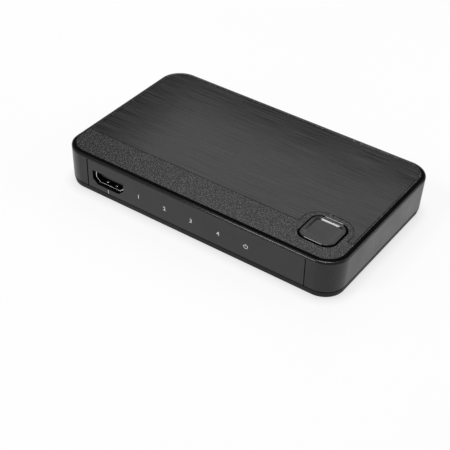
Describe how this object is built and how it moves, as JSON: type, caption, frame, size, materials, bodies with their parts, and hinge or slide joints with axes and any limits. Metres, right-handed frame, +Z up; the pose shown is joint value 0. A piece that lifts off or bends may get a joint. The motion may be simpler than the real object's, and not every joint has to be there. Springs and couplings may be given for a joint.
{
  "type": "hdmi switch box",
  "caption": "Flat rounded video switch box with a brushed lid, a bevelled select key, a glossy indicator strip, a front video socket and rear video, audio and power jacks.",
  "frame": {"origin": "centre of the footprint, on the surface that the rubber feet stand on", "axes": "+Z up, front with the indicators towards -Y, +X to the right seen from the front"},
  "size_m": [0.13, 0.0778, 0.0189],
  "materials": {
    "lid_plastic": "fine spark texture, satin bevel",
    "brushed_sheet": "brushed and dark anodised",
    "case_plastic": "fine spark texture",
    "gloss_panel": "polished, smoked",
    "rear_plastic": "fine spark texture",
    "rubber": "matte",
    "screw_steel": "zinc plated",
    "board_laminate": "solder mask on glass laminate",
    "key_plastic": "fine spark texture, satin bevel",
    "socket_steel": "nickel plated",
    "insulator_plastic": "moulded",
    "contact_gold": "gold plated",
    "jack_plastic": "moulded",
    "jack_contact": "tin plated",
    "emitter_resin": "dark cast resin",
    "lamp_resin": "water-clear resin",
    "chip_resin": "moulded resin",
    "ferrite": "pressed powder",
    "can_aluminium": "drawn can"
  },
  "bodies": {
    "case": {"top_cover": "lid_plastic", "top_inlay": "brushed_sheet", "wall_frame": "case_plastic", "bottom_cover": "case_plastic", "front_panel": "gloss_panel", "rear_panel": "rear_plastic", "rubber_feet": "rubber", "case_screws": "screw_steel", "board_screws": "screw_steel", "circuit_board": "board_laminate", "video_in_1_shell": "socket_steel", "video_in_2_shell": "socket_steel", "video_in_3_shell": "socket_steel", "video_in_4_shell": "socket_steel", "video_out_shell": "socket_steel", "switch_cover": "socket_steel", "video_in_1_insulator": "insulator_plastic", "video_in_2_insulator": "insulator_plastic", "video_in_3_insulator": "insulator_plastic", "video_in_4_insulator": "insulator_plastic", "video_out_insulator": "insulator_plastic", "video_in_1_contacts": "contact_gold", "video_in_2_contacts": "contact_gold", "video_in_3_contacts": "contact_gold", "video_in_4_contacts": "contact_gold", "video_out_contacts": "contact_gold", "optical_housing": "jack_plastic", "audio_jack_body": "jack_plastic", "power_jack_body": "jack_plastic", "switch_body": "jack_plastic", "led_holders": "jack_plastic", "audio_jack_contacts": "jack_contact", "power_jack_pin": "jack_contact", "power_jack_spring": "jack_contact", "optical_emitter": "emitter_resin", "ir_receiver": "emitter_resin", "indicator_leds": "lamp_resin", "switch_chip": "chip_resin", "control_chip": "chip_resin", "audio_chip": "chip_resin", "regulator": "chip_resin", "inductor": "ferrite", "capacitors": "can_aluminium", "crystal": "can_aluminium"},
    "button": {"select_button": "key_plastic"},
    "plunger": {"switch_plunger": "jack_plastic"},
    "shutter": {"optical_shutter": "jack_plastic"}
  },
  "joints": [
    {"name": "button_press", "type": "slide", "parent": "case", "child": "button", "axis": [0, 0, -1], "range_m": [0, 0.0005], "stiffness_N_per_m": 800},
    {"name": "plunger_press", "type": "slide", "parent": "case", "child": "plunger", "axis": [0, 0, -1], "range_m": [0, 0.0005], "stiffness_N_per_m": 40},
    {"name": "shutter_swing", "type": "hinge", "parent": "case", "child": "shutter", "pos_m": [0.0261, 0.03675, 0.0146], "axis": [-1, 0, 0], "range_deg": [0, 85], "stiffness_Nm_per_rad": 0.0002}
  ],
  "couplings": [
    {"joint": "plunger_press", "follows": "button_press", "ratio": 1}
  ]
}
